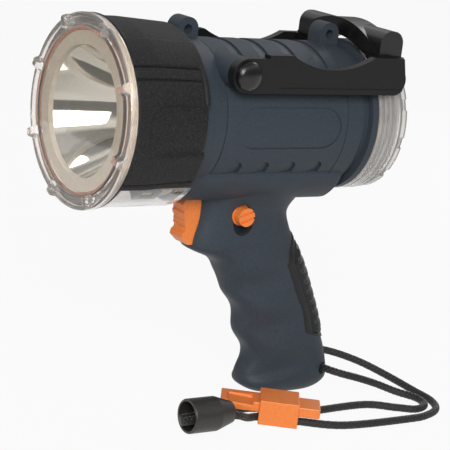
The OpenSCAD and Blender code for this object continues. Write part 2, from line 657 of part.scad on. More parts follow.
// The trigger's front is scalloped for the finger, and its tail slides in the grip
module trigger() color("#f0741c") difference() {
    union() {
        translate([0, trigger_w / 2, 0]) rotate([90, 0, 0]) linear_extrude(trigger_w) difference() {
            polygon([[trigger_x + 2, -trigger_top], [trigger_x, -trigger_top - 4], [trigger_x + 3, -trigger_low + 12],
                [trigger_x + 1.5, -trigger_low + 4], [trigger_x + 6, -trigger_low], [guide_x - 15, -trigger_low],
                [guide_x - 15, -trigger_top]]);
            for (k = [0:2]) translate([trigger_x - 0.2 + k * 0.9, -trigger_top - 7.5 - k * 5.2]) circle(r = 2.1, $fn = 32);
        }
        translate([guide_x - 16, -trigger_w / 2 + tail_in, -trigger_low + 2])
            cube([trigger_rear - guide_x + 16, trigger_w - 2 * tail_in, trigger_low - trigger_top - 4]);
    }
    translate([trigger_rear - 8, 0, -spring_d]) rotate([0, 90, 0]) cylinder(r = spring_r + 0.1, h = 9, $fn = 48);
}

module trigger_spring() color("silver") translate([trigger_rear - 8, 0, -spring_d]) rotate([0, 90, 0]) difference() {
    cylinder(r = spring_r, h = 8 + trigger_travel + 6, $fn = 48);
    translate([0, 0, -1]) cylinder(r = spring_r - 0.8, h = 40, $fn = 48);
}

module trigger_switch() color("#1b1c1e") {
    translate([switch_x, -switch_w / 2, -switch_d - switch_h / 2]) cube([switch_l, switch_w, switch_h]);
    translate([switch_x - 0.7, -1.5, -switch_d - 1.5]) cube([1, 3, 3]);
}

// The lock knob slides in its slot; a collar fills the slot's width, and a plate behind the wall keeps it in
module lock_slider() color("#f0741c") on_slot() difference() {
    union() {
        cross_pin(0, 0, knob_r, -grip_half - knob_out, -grip_half + 1);
        cross_pin(0, 0, knob_stem_r, -grip_half + 0.8, -grip_half + grip_wall + knob_set + 0.5);
        translate([-plate_half_x, -grip_half + grip_wall + knob_set, -plate_half_z])
            cube([2 * plate_half_x, 2, 2 * plate_half_z]);
    }
    for (z = [-1.9, 1.9]) translate([-knob_r - 1, -grip_half - knob_out - 1, z - 0.6]) cube([2 * knob_r + 2, 2, 1.2]);
}

// Handle

module arm_outline() difference() {
    union() {
        translate([pivot_x, pivot_z]) circle(r = eye_r, $fn = 64);
        translate([pivot_x, arm_low]) square([arm_end - arm_round - pivot_x, arm_top - arm_low]);
        translate([arm_end - arm_round, arm_low + arm_round]) circle(r = arm_round, $fn = 64);
        polygon([[arm_end - arm_round, arm_low + arm_round], [arm_end, arm_low + arm_round],
            [arm_end - arm_tail, arm_top], [arm_end - arm_round, arm_top]]);
    }
    translate([pivot_x + 57, 32.7 + 58]) circle(r = 58, $fn = 128);
    translate([pivot_x - 1, pivot_z + eye_r]) square([14, 10]);
    translate([pivot_x, pivot_z]) circle(r = bolt_r + snug, $fn = 48);
}

// The arm's outer face steps in behind the eye, above a rim along its lower edge
panel_depth = 0.6;
panel_rim = 3;
dowel_xs = [bar_x + 5, bar_x + bar_d - 5];
module arm() difference() {
    translate([0, -arm_in, 0]) rotate([90, 0, 0]) linear_extrude(arm_t) arm_outline();
    for (x = dowel_xs) cross_pin(x, dowel_z, dowel_r, -arm_in - 3.5, -arm_in + 1);
    translate([pivot_x + 21, -arm_out - 1, arm_low + panel_rim]) cube([arm_end, 1 + panel_depth, arm_top]);
}
module handle_arm_left() color("#252321") arm();
module handle_arm_right() color("#252321") mirror([0, 1, 0]) arm();

// The crossbar stands between the arms' ends, and a hoop in it arches over the rear cap; its top is round
module bar_profile() {
    square([bar_d, bar_top - bar_round]);
    for (x = [bar_round, bar_d - bar_round]) translate([x, bar_top - bar_round]) circle(r = bar_round, $fn = 64);
    translate([bar_round, 0]) square([bar_d - 2 * bar_round, bar_top]);
}
module handle_crossbar() color("#1c1b1b") difference() {
    union() {
        bar_body();
        intersection() {
            turned(box_points(arch_r, bar_top + hoop_rise, bar_x - hoop_fore, bar_x + bar_d - 2));
            translate([bar_x - 5, -bar_half + 1, arm_top + 1]) cube([bar_d + 10, 2 * bar_half - 2, bar_top]);
        }
    }
    both_sides() for (x = dowel_xs) cross_pin(x, dowel_z, dowel_r, -arm_in - 1, -arm_in + 4.2);
}
module bar_body() intersection() {
    translate([bar_x, arm_out, 0]) rotate([90, 0, 0]) linear_extrude(2 * arm_out) bar_profile();
    translate([bar_x - 1, 0, 0]) rotate([90, 0, 90]) linear_extrude(bar_d + 2) difference() {
        union() {
            translate([-arm_in + snug, bar_seat]) square([2 * (arm_in - snug), arm_top - bar_seat]);
            translate([-bar_half, bar_seat]) square([2 * bar_half, bar_top]);
        }
        circle(r = arch_r, $fn = 128);
    }
}

module crossbar_dowels() color("silver") both_sides() for (x = dowel_xs)
    cross_pin(x, dowel_z, dowel_r, -arm_in - 3.4, -arm_in + 4);

module pivot_bolts() color("dimgray") both_sides() {
    cross_pin(pivot_x, pivot_z, bolt_r - 0.5, -arm_in, -22);
    cross_pin(pivot_x, pivot_z, bolt_r, -arm_out - 0.3, -boss_out);
    cross_pin(pivot_x, pivot_z, 5.2, -arm_out - 2.6, -arm_out - 0.1);
}

module pivot_washers() color("silver") both_sides() difference() {
    cross_pin(pivot_x, pivot_z, 7, -arm_in + snug, -boss_out);
    cross_pin(pivot_x, pivot_z, bolt_r + snug, -arm_in - 1, -boss_out + 1);
}

// A domed cap snaps over each bolt head
module pivot_caps() color("#1c1b1b") both_sides() translate([pivot_x, -arm_out - 0.1, pivot_z]) rotate([90, 0, 0])
    rotate_extrude($fn = 64) polygon(concat([[5.3, 0], [dome_r, 0], [dome_r, 1.2]],
        [for (t = [10:10:80]) [dome_r * cos(t), 1.2 + 3.6 * sin(t)]], [[0, 4.8], [0, 2.6], [5.3, 2.6]]));

// Lanyard

cord_sides = 10;
function route_point(p, i, t) =
    let (a = p[max(i - 1, 0)], b = p[i], c = p[i + 1], d = p[min(i + 2, len(p) - 1)])
    0.5 * (2 * b + (c - a) * t + (2 * a - 5 * b + 4 * c - d) * t * t + (3 * b - a - 3 * c + d) * t * t * t);
function unit(v) = v / norm(v);
module lanyard_cord() color("#151312") {
    spans = len(cord_route) - 1;
    line = [for (k = [0:cord_rings - 1])
        let (along = k * spans / (cord_rings - 1), i = min(floor(along), spans - 1)) route_point(cord_route, i, along - i)];
    swept([for (i = [0:len(line) - 1])
        let (ahead = unit(line[min(i + 1, len(line) - 1)] - line[max(i - 1, 0)]))
        let (side = unit(cross(ahead, [0, 0, 1])), up = cross(side, ahead))
        [for (k = [0:cord_sides - 1]) line[i] + cord_r * (cos(k * 360 / cord_sides) * side - sin(k * 360 / cord_sides) * up)]]);
}

module on_lock() translate([lock_at[0], lock_at[1], 0]) rotate(lock_turn) children();

module cord_lock_sleeve() color("#f58a3c") on_lock() difference() {
    translate([-sleeve_l / 2, -sleeve_w / 2, floor_z]) cube([sleeve_l, sleeve_w, sleeve_h]);
    for (s = [-1, 1]) translate([-sleeve_l, s * lock_bore, cord_z + 0.9]) rotate([0, 90, 0])
        cylinder(r = cord_r + 0.35, h = 2 * sleeve_l, $fn = 32);
    translate([-sleeve_l, -tongue_w / 2 - snug, tongue_z - tongue_t / 2 - snug])
        cube([2 * sleeve_l, tongue_w + 2 * snug, tongue_t + 2 * snug]);
}

module cord_lock_tongue() color("#f58a3c") on_lock()
    translate([-tongue_l / 2 - tongue_back, -tongue_w / 2, tongue_z - tongue_t / 2]) difference() {
        cube([tongue_l, tongue_w, tongue_t]);
        translate([4, -1, tongue_t - 1]) rotate([0, 4, 0]) cube([14, tongue_w - 4, 2]);
    }

module cord_end_bell() color("#35332f") translate([bell_at[0], bell_at[1], bell_z]) rotate([0, 90, 0])
    rotate_extrude($fn = 64) polygon([[bell_r - 1.4, 0], [bell_r - 0.3, 0], [bell_r, 0.6], [bell_r, bell_l * 0.62],
        [bell_neck_r, bell_l], [bell_bore_r, bell_l], [bell_bore_r, bell_l * 0.7], [bell_r - 1.4, bell_l * 0.55]]);

module place() translate([-hold_x, 0, hold_d]) children();

place() front_lens();
place() front_seal();
place() lens_bezel();
place() reflector();
place() led_emitter();
place() led_board();
place() heat_sink();
place() head_bumper();
place() flood_window();
place() flood_tray();
place() flood_leds();
place() head_shell();
place() barrel_housing();
place() barrel_neck();
place() rear_seal();
place() rear_cap();
place() rear_plate();
place() charge_socket();
place() battery_cells();
place() battery_holder();
place() driver_board();
place() wiring();
place() grip_left();
place() grip_right();
place() grip_screws();
place() backstrap();
place() trigger();
place() trigger_spring();
place() trigger_switch();
place() lock_slider();
place() handle_arm_left();
place() handle_arm_right();
place() handle_crossbar();
place() crossbar_dowels();
place() pivot_bolts();
place() pivot_washers();
place() pivot_caps();
place() lanyard_cord();
place() cord_lock_sleeve();
place() cord_lock_tongue();
place() cord_end_bell();
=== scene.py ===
import math

import bmesh
import bpy
from mathutils import Matrix, Vector


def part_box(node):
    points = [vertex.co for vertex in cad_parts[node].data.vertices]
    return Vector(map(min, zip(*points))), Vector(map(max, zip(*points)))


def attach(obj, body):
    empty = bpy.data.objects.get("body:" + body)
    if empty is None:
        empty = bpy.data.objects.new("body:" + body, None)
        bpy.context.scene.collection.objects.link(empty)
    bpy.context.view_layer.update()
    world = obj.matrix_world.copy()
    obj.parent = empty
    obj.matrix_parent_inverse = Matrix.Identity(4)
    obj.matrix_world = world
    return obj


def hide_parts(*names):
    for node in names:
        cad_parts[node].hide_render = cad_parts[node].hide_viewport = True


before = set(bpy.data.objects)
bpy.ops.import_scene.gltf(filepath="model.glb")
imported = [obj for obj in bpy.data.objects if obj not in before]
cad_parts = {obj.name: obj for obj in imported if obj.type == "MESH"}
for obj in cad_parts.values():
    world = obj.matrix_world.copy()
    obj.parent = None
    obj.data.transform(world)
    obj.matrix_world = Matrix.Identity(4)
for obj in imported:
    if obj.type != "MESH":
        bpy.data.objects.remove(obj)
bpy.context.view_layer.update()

# Places are given in millimetres: back from the lens, out to the side, and up from the beam's axis.
MM = 0.001
BUMPER_FRONT, BUMPER_REAR = 5.0, 51.0
bumper_low, bumper_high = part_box("head_bumper")
mirror_low, mirror_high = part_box("reflector")
LENS_FRONT = bumper_low.x - BUMPER_FRONT * MM
BEAM_HEIGHT = (mirror_low.z + mirror_high.z) / 2
FLOOR = -166
RIM = (bumper_high.y - bumper_low.y) / 2 / MM
THREAD_PITCH = 3.4
PLASTIC_IOR = 1.49


def at(back, side, up):
    return Vector((LENS_FRONT + back * MM, side * MM, BEAM_HEIGHT + up * MM))


def linear(hex_colour):
    """An sRGB hex colour as the linear values that shaders take."""
    values = [int(hex_colour[i:i + 2], 16) / 255 for i in (1, 3, 5)]
    return [v / 12.92 if v <= 0.04045 else ((v + 0.055) / 1.055) ** 2.4 for v in values] + [1.0]


def add(tree, kind, inputs=None, **settings):
    """Adds one node, with its settings, its socket values and its links."""
    node = tree.nodes.new("ShaderNode" + kind)
    for name, value in settings.items():
        setattr(node, name, value)
    for socket, value in (inputs or {}).items():
        if isinstance(value, bpy.types.NodeSocket):
            tree.links.new(value, node.inputs[socket])
        else:
            node.inputs[socket].default_value = value
    return node


def finish_of(name, hex_colour, roughness, **sockets):
    """A new material: returns it with its tree, its surface shader and the place in mm."""
    material = bpy.data.materials.new(name)
    material.use_nodes = True
    tree = material.node_tree
    shader = tree.nodes["Principled BSDF"]
    shader.inputs["Base Color"].default_value = linear(hex_colour)
    shader.inputs["Roughness"].default_value = roughness
    for socket, value in sockets.items():
        shader.inputs[socket.replace("_", " ")].default_value = value
    place = add(tree, "TexCoord")
    scale = add(tree, "VectorMath", {0: place.outputs["Object"], "Scale": 1 / MM}, operation="SCALE")
    return material, tree, shader, scale.outputs["Vector"]


def colour_between(tree, shader, pattern, tones, spread):
    """Colours a surface from one tone to another, as a pattern goes over the spread."""
    ramp = add(tree, "ValToRGB", {"Fac": pattern})
    for stop, where, tone in zip(ramp.color_ramp.elements, spread, tones):
        stop.position = where
        stop.color = linear(tone)
    tree.links.new(ramp.outputs["Color"], shader.inputs["Base Color"])


def emboss(tree, shader, pattern, depth):
    """Raises a surface by a pattern, as deep as depth in mm."""
    bump = add(tree, "Bump", {"Height": pattern, "Strength": 1.0, "Distance": depth * MM})
    tree.links.new(bump.outputs["Normal"], shader.inputs["Normal"])


def grain(tree, shader, place, size, tones, depth, spread=(0.35, 0.65)):
    """Fine grain of a size in mm: two tones of colour, and a bump as deep as depth in mm."""
    noise = add(tree, "TexNoise", {"Vector": place, "Scale": 1 / size, "Detail": 3.0, "Roughness": 0.6})
    colour_between(tree, shader, noise.outputs["Fac"], tones, spread)
    emboss(tree, shader, noise.outputs["Fac"], depth)


def slate_abs():
    # ABS moulded in a spark-eroded tool: an even, soft grey-blue with a very fine matte grain
    material, tree, shader, place = finish_of("slate_abs_spark_grain", "#3a4148", 0.5, Specular_IOR_Level=0.2)
    grain(tree, shader, place, 0.9, ("#363d44", "#3e464e"), 0.03)
    return material


def bumper_rubber():
    # TPE overmoulding with a coarse spark grain: near black, with pale specks painted as glints on the
    # grain's raised points
    material, tree, shader, place = finish_of("bumper_tpe_grain_painted_glints", "#232323", 0.55,
                                              Specular_IOR_Level=0.2)
    # the paler tone is a painted glint, lighter where the grain's bump stands highest
    grain(tree, shader, place, 0.8, ("#1c1c1d", "#333233"), 0.14, spread=(0.42, 0.68))
    return material


def handle_nylon():
    # Glass-filled nylon with a satin skin: black, with soft streaks of reflection
    material, tree, shader, place = finish_of("handle_nylon_satin", "#1a1a1a", 0.36, Specular_IOR_Level=0.25)
    grain(tree, shader, place, 1.1, ("#181818", "#1d1d1d"), 0.02)
    return material


def gloss_nylon():
    # Polished nylon of the pivot domes and the crossbar: black with clear highlights
    material, tree, shader, place = finish_of("nylon_gloss_black", "#141313", 0.24)
    grain(tree, shader, place, 2.0, ("#121111", "#171616"), 0.005)
    return material


def strap_rubber():
    # Soft TPE of the backstrap: black and half dull, so that its ribs catch a little light
    material, tree, shader, place = finish_of("backstrap_tpe_dull", "#1e1e1f", 0.45, Specular_IOR_Level=0.3)
    grain(tree, shader, place, 1.0, ("#1b1b1c", "#252526"), 0.04)
    return material


def orange_nylon():
    # Dyed nylon with a satin mould finish: strong orange, a little translucent at thin edges
    material, tree, shader, place = finish_of("orange_nylon_satin", "#f5883e", 0.4, Subsurface_Weight=0.08,
                                              Subsurface_Scale=0.002)
    shader.inputs["Subsurface Radius"].default_value = (1.0, 0.4, 0.15)
    grain(tree, shader, place, 1.4, ("#f28238", "#f88e44"), 0.015)
    return material


def seal_silicone(name, tones):
    # Moulded silicone ring: dull, with slight streaks
    material, tree, shader, place = finish_of(name, tones[0], 0.5)
    grain(tree, shader, place, 3.0, tones, 0.02)
    return material


def soft_waves(tree, shader, place, size, depth):
    """The slight unevenness of a polished skin: waves of a size and a depth in mm."""
    noise = add(tree, "TexNoise", {"Vector": place, "Scale": 1 / size, "Detail": 2.0})
    emboss(tree, shader, noise.outputs["Fac"], depth)


def polycarbonate(name, hex_colour, clearness, roughness):
    # Polished polycarbonate: clear, with a faint warm tint, and a little milky where it is thick
    material, tree, shader, place = finish_of(name, hex_colour, roughness, Transmission_Weight=clearness,
                                              IOR=PLASTIC_IOR)
    soft_waves(tree, shader, place, 14.0, 0.05)
    through = add(tree, "BsdfTransparent", {"Color": linear("#f2eee8")})
    path = add(tree, "LightPath")
    mix = add(tree, "MixShader", {0: path.outputs["Is Shadow Ray"], 1: shader.outputs["BSDF"],
                                  2: through.outputs["BSDF"]})
    tree.links.new(mix.outputs["Shader"], tree.nodes["Material Output"].inputs["Surface"])
    return material


def ribbed_cap():
    # Clear cap over a screw thread: milky, with painted bright and grey streaks along the thread's turns,
    # standing in for their glints and shade seen through the cap
    material, tree, shader, place = finish_of("cap_polycarbonate_painted_thread_streaks", "#e9e7e2", 0.08, IOR=PLASTIC_IOR,
                                              Transmission_Weight=0.72)
    turns = add(tree, "TexWave", {"Vector": place, "Scale": math.pi / 10 / THREAD_PITCH, "Distortion": 0.6,
                                  "Detail": 1.0, "Detail Scale": 0.05}, bands_direction="X")
    # the streaks' bright and grey tones are painted light and shade of the thread's turns, not the plastic's
    # own colour
    colour_between(tree, shader, turns.outputs["Fac"], ("#d4d1cb", "#f6f5f3"), (0.25, 0.75))
    emboss(tree, shader, turns.outputs["Fac"], 0.2)
    return material


def reflector_chrome():
    # Vacuum-metallised reflector: bright mirror with a trace of orange peel
    material, tree, shader, place = finish_of("reflector_vacuum_metal", "#e9e9e6", 0.06, Metallic=1.0)
    soft_waves(tree, shader, place, 6.0, 0.015)
    return material


def plain(name, tones, roughness, size, depth, **sockets):
    """A finish with a little grain, for the smaller pieces."""
    material, tree, shader, place = finish_of(name, tones[0], roughness, **sockets)
    grain(tree, shader, place, size, tones, depth)
    return material


def braided_polyester():
    # Braided polyester cord: black yarn whose bundles catch light along their crests
    material, tree, shader, place = finish_of("cord_braided_polyester", "#161413", 0.55, Sheen_Weight=0.25,
                                              Sheen_Roughness=0.4)
    grain(tree, shader, place, 0.35, ("#0b0b0b", "#242322"), 0.08)
    return material


clear = polycarbonate("window_polycarbonate", "#f6f2ec", 1.0, 0.03)
flange_clear = polycarbonate("flange_polycarbonate", "#f0ebe7", 0.9, 0.05)
slate = slate_abs()
nylon = handle_nylon()
gloss_black = gloss_nylon()
orange = orange_nylon()
steel = plain("zinc_plated_steel", ("#a9a9a6", "#b8b8b4"), 0.32, 2.0, 0.01, Metallic=1.0)
white_board = plain("white_solder_mask", ("#e4e3de", "#eceae6"), 0.45, 2.0, 0.01)
FINISH = {
    "front_lens": clear,
    "flood_window": polycarbonate("flood_polycarbonate", "#e6e4e0", 0.97, 0.03),
    "rear_cap": ribbed_cap(),
    "front_seal": seal_silicone("seal_silicone_rust", ("#a4602c", "#b56b33")),
    "rear_seal": seal_silicone("seal_silicone_orange", ("#e08432", "#ec9440")),
    "lens_bezel": plain("bezel_abs_warm_grey", ("#b8b2a9", "#c4beb5"), 0.4, 2.5, 0.02),
    "reflector": reflector_chrome(),
    "led_emitter": plain("led_phosphor", ("#e8c25a", "#f0d070"), 0.35, 1.2, 0.01),
    "flood_leds": plain("flood_led_phosphor", ("#d9c98a", "#e6d89c"), 0.3, 1.2, 0.01),
    "led_board": white_board,
    "flood_tray": plain("tray_abs_white", ("#dcdad6", "#e6e4e0"), 0.4, 3.0, 0.02),
    "heat_sink": plain("sink_cast_aluminium", ("#a9acae", "#b7babc"), 0.42, 1.5, 0.04, Metallic=1.0),
    "head_bumper": bumper_rubber(),
    "backstrap": strap_rubber(),
    "head_shell": slate,
    "barrel_housing": slate,
    "barrel_neck": plain("neck_abs_pale_grey", ("#b9b7b3", "#c8c6c2"), 0.35, 2.0, 0.02),
    "grip_left": slate,
    "grip_right": slate,
    "trigger": orange,
    "lock_slider": orange,
    "cord_lock_sleeve": orange,
    "cord_lock_tongue": orange,
    "handle_arm_left": nylon,
    "handle_arm_right": nylon,
    "handle_crossbar": gloss_black,
    "pivot_caps": gloss_black,
    "rear_plate": plain("plate_abs_black", ("#1d1d1e", "#252526"), 0.45, 1.5, 0.02),
    "charge_socket": plain("socket_pbt_black", ("#161617", "#1e1e1f"), 0.4, 1.5, 0.02),
    "battery_holder": plain("holder_abs_black", ("#19191a", "#222223"), 0.5, 1.5, 0.02),
    "trigger_switch": plain("switch_pbt_black", ("#18191b", "#202123"), 0.4, 1.5, 0.02),
    "battery_cells": plain("cell_pvc_wrap", ("#2a5690", "#2f5e9b"), 0.3, 4.0, 0.02),
    "driver_board": plain("board_green_mask", ("#14502c", "#195c34"), 0.35, 2.0, 0.02),
    "wiring": plain("wire_pvc_red", ("#ad2a22", "#b83128"), 0.4, 1.0, 0.01),
    "grip_screws": steel,
    "crossbar_dowels": steel,
    "pivot_bolts": steel,
    "pivot_washers": steel,
    "trigger_spring": steel,
    "cord_end_bell": plain("bell_pvc_charcoal", ("#2a2826", "#32302d"), 0.42, 1.2, 0.03),
}
for node, material in FINISH.items():
    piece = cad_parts[node]
    piece.data.materials.clear()
    piece.data.materials.append(material)


def soften(node, width):
    """Rounds a CAD node's sharp edges with modifiers: width is in mm."""
    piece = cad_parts[node]
    weld = piece.modifiers.new("weld", "WELD")
    weld.merge_threshold = 0.002 * MM
    bevel = piece.modifiers.new("edges", "BEVEL")
    bevel.width = width * MM
    bevel.segments = 3
    bevel.limit_method = "ANGLE"
    bevel.angle_limit = math.radians(32)
    normals = piece.modifiers.new("normals", "WEIGHTED_NORMAL")
    normals.weight = 80
    normals.keep_sharp = True


SOFT_EDGES = {
    "handle_arm_left": 0.9,
    "handle_arm_right": 0.9,
    "handle_crossbar": 1.8,
    "trigger": 0.7,
    "lock_slider": 0.4,
    "cord_lock_sleeve": 1.4,
    "cord_lock_tongue": 1.2,
    "rear_cap": 0.35,
}
for node, width in SOFT_EDGES.items():
    soften(node, width)


# The lanyard cord: its route is the CAD cord's, from the bell through the lock to the heel and back
CORD_RADIUS = 2.1
CORD_FLOOR = FLOOR + CORD_RADIUS + 0.1
LOCK_PLACE = (121.5, -48.5)
LOCK_TURN = math.radians(-36)
LOCK_BORE = 7
BELL_PLACE = (57, -52)
BELL_HEIGHT = FLOOR + 9.6
HEEL_BORE, HEEL_BORE_R, CORD_PULL = (178.7, -152), 3.6, 1.2
HEEL_HOLE = (HEEL_BORE[0] + CORD_PULL, HEEL_BORE[1])
BRAID_SIDES, BRAID_BUNDLES, BRAID_PITCH, BRAID_RELIEF, BRAID_MEAN = 24, 8, 10.0, 0.4, 0.55
CORD_STEP = 0.55


def lock_point(along, across):
    c, s = math.cos(LOCK_TURN), math.sin(LOCK_TURN)
    return (LOCK_PLACE[0] + along * c - across * s, LOCK_PLACE[1] + along * s + across * c, CORD_FLOOR + 0.9)


CORD_ROUTE = [
    (BELL_PLACE[0] - 5, BELL_PLACE[1] - 2.4, BELL_HEIGHT - 1.8),
    (78, -54.4, -157.2), (90, -53.9, -158.4), (100, -49.4, -162.2),
    lock_point(-9, -LOCK_BORE), lock_point(12, -LOCK_BORE), (152, -71.8, CORD_FLOOR),
    (198, -73.6, CORD_FLOOR), (214, -71.2, CORD_FLOOR), (226.5, -64, CORD_FLOOR), (233.5, -51, CORD_FLOOR),
    (233.5, -35, -163.2), (228, -17, -159.8), (218, -1, -155.2), (207, 13.5, -152.6),
    (195.5, 22, -151.8), (185.6, 21.6, -151.8), (HEEL_HOLE[0] + 0.3, 13.5, HEEL_HOLE[1]),
    (HEEL_HOLE[0], 0, HEEL_HOLE[1]), (HEEL_HOLE[0] + 0.3, -12.5, HEEL_HOLE[1]), (186, -21.4, -153),
    (197, -25, -155.6), (209, -27.4, -159.2), (220, -34.5, -162.8), (227.2, -46, CORD_FLOOR),
    (223.4, -57.2, CORD_FLOOR), (213, -61.2, CORD_FLOOR), (202.5, -55.6, CORD_FLOOR),
    (186, -46.2, CORD_FLOOR), (150, -47, CORD_FLOOR),
    lock_point(12, LOCK_BORE), lock_point(-9, LOCK_BORE), (107.6, -33.6, -163.3),
    (101.2, -35.4, -163.2), (96.8, -39.8, -162.8), (94.2, -45.2, -161), (90, -48.5, -159),
    (84.4, -49.6, -157.5), (74, -49.6, -157.2), (BELL_PLACE[0] - 3, BELL_PLACE[1] + 2.4, BELL_HEIGHT - 1.8),
]


def smooth_line(points, steps):
    """A curve through the points, with so many steps to each span."""
    p = [Vector(v) for v in points]
    line = []
    for i in range(len(p) - 1):
        a, b, c, d = p[max(i - 1, 0)], p[i], p[i + 1], p[min(i + 2, len(p) - 1)]
        for k in range(steps):
            t = k / steps
            line.append(0.5 * (2 * b + (c - a) * t + (2 * a - 5 * b + 4 * c - d) * t ** 2
                               + (3 * b - a - 3 * c + d) * t ** 3))
    return line + [p[-1]]


def even_line(line, gap):
    """The same line with points an even gap apart."""
    out = [line[0]]
    left = gap
    for a, b in zip(line, line[1:]):
        length = (b - a).length
        done = 0.0
        while length - done >= left:
            done += left
            out.append(a.lerp(b, done / length))
            left = gap
        left -= length - done
    return out


def new_piece(name, points, faces, material, body, smooth=True):
    """A mesh piece from points in metres, with its material, riding on a body."""
    mesh = bpy.data.meshes.new(name)
    mesh.from_pydata(points, [], faces)
    mesh.update()
    for face in mesh.polygons:
        face.use_smooth = smooth
    piece = bpy.data.objects.new(name, mesh)
    bpy.context.scene.collection.objects.link(piece)
    mesh.materials.append(material)
    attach(piece, body)
    return piece


def tube_faces(rings, sides):
    """The faces of a closed tube of rings of points, with a face at each end."""
    faces = []
    for i in range(rings - 1):
        for k in range(sides):
            a, b = i * sides + k, i * sides + (k + 1) % sides
            faces.append((a, b, b + sides, a + sides))
    faces.append(tuple(range(sides))[::-1])
    faces.append(tuple((rings - 1) * sides + k for k in range(sides)))
    return faces


def face_out(mesh):
    """Turns every face of a closed mesh outwards."""
    work = bmesh.new()
    work.from_mesh(mesh)
    bmesh.ops.recalc_face_normals(work, faces=work.faces)
    work.to_mesh(mesh)
    work.free()


def crisp(piece, degrees):
    """Splits the edges that turn by more than so many degrees, so that they stay sharp."""
    edges = piece.modifiers.new("crisp", "EDGE_SPLIT")
    edges.split_angle = math.radians(degrees)


def braided_cord():
    """A braided tube: bundles wind both ways round it, and each crosses over and under the others."""
    line = even_line(smooth_line(CORD_ROUTE, 24), CORD_STEP)
    points = []
    normal = Vector((0, 0, 1))
    for i, place in enumerate(line):
        ahead = (line[min(i + 1, len(line) - 1)] - line[max(i - 1, 0)]).normalized()
        side = ahead.cross(normal).normalized()
        normal = side.cross(ahead)
        for k in range(BRAID_SIDES):
            turn = 2 * math.pi * k / BRAID_SIDES
            along = 2 * math.pi * i * CORD_STEP / BRAID_PITCH
            one = math.cos(BRAID_BUNDLES / 2 * (turn + along))
            other = math.cos(BRAID_BUNDLES / 2 * (turn - along))
            radius = CORD_RADIUS + BRAID_RELIEF * (max(one, other) - BRAID_MEAN)
            out = side * math.cos(turn) + normal * math.sin(turn)
            points.append(at(*(place + out * radius)))
    faces = tube_faces(len(line), BRAID_SIDES)
    cord = new_piece("braided_lanyard", points, faces, braided_polyester(), "lamp")
    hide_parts("lanyard_cord")


braided_cord()


# The rubber bumper round the head: angles are in degrees from the photographed side, up and over the top
BUMPER_BORE = RIM - 6.45
WINDOW_EDGE = -39.5
BAR_EDGES = (30.0, 38.0)
TOP_PANEL = 58.6
BUMPER_TAPER, TAPER_FRONT, TAPER_LENGTH = 2.0, 20.4, 29.6
FRONT_ROUND, REAR_ROUND = 1.0, 1.2
TOP_DEPTH, TOP_FRONT = 1.5, 7.5
DIMPLE_HALF, DIMPLE_FRONT, DIMPLE_CORNER = 15.0, 13.0, 10.0
DIMPLE_DEPTH, DIMPLE_SLOPE, DIMPLE_FADE = 2.2, 1.6, 20.0
BAR_REAR, BAR_DEPTHS, BAR_WIDTHS = 46.8, (1.4, 1.6), (0.7, 0.8)
END_GROOVE, END_GROOVE_DEPTH, END_GROOVE_WIDTH = 47.4, 0.9, 0.55
LOW_GROOVE, LOW_GROOVE_DEPTH, LOW_GROOVE_WIDTH = -35.6, 1.2, 0.7


def ramp(value, edge, width):
    """0 before the edge and 1 after it, with a smooth turn of that width."""
    t = min(1.0, max(0.0, (value - edge) / width + 0.5))
    return t * t * (3 - 2 * t)


def groove(value, centre, width):
    """1 at the centre, and less to each side of it."""
    return math.exp(-((value - centre) / width) ** 2)


def bumper_radius(x, angle):
    """The rubber's outer radius: its taper, less its dimples, grooves and top panel."""
    folded = angle if angle <= 90 else 180 - angle
    radius = RIM - BUMPER_TAPER * max(0.0, (x - TAPER_FRONT) / TAPER_LENGTH)
    radius -= REAR_ROUND * ramp(x, BUMPER_REAR - 0.6, 1.6)
    radius -= FRONT_ROUND * (1 - ramp(x, BUMPER_FRONT + 0.5, 1.2))
    radius -= TOP_DEPTH * ramp(folded, TOP_PANEL, 1.4) * ramp(x, TOP_FRONT, 1.6)
    along = folded * math.pi / 180 * RIM
    half = DIMPLE_HALF * math.pi / 180 * RIM
    corner_x = max(0.0, DIMPLE_FRONT + DIMPLE_CORNER - x)
    corner_y = max(0.0, along - half + DIMPLE_CORNER)
    inside = DIMPLE_CORNER - math.hypot(corner_x, corner_y)
    front_fade = ramp(along, -half * 0.5, half)
    fade_in = front_fade + (1 - front_fade) * ramp(x, DIMPLE_FRONT + 9, DIMPLE_FADE)
    radius -= DIMPLE_DEPTH * ramp(inside, 0.0, DIMPLE_SLOPE) * fade_in * ramp(along, -half, DIMPLE_SLOPE)
    bar = 1 - ramp(x, BAR_REAR, 0.8)
    for edge, depth, width in zip(BAR_EDGES, BAR_DEPTHS, BAR_WIDTHS):
        radius -= bar * depth * groove(folded, edge, width)
    between = ramp(folded, DIMPLE_HALF, 1.0) * (1 - ramp(folded, BAR_EDGES[1], 1.0))
    radius -= END_GROOVE_DEPTH * groove(x, END_GROOVE, END_GROOVE_WIDTH) * between
    radius -= LOW_GROOVE_DEPTH * groove(folded, LOW_GROOVE, LOW_GROOVE_WIDTH)
    return radius


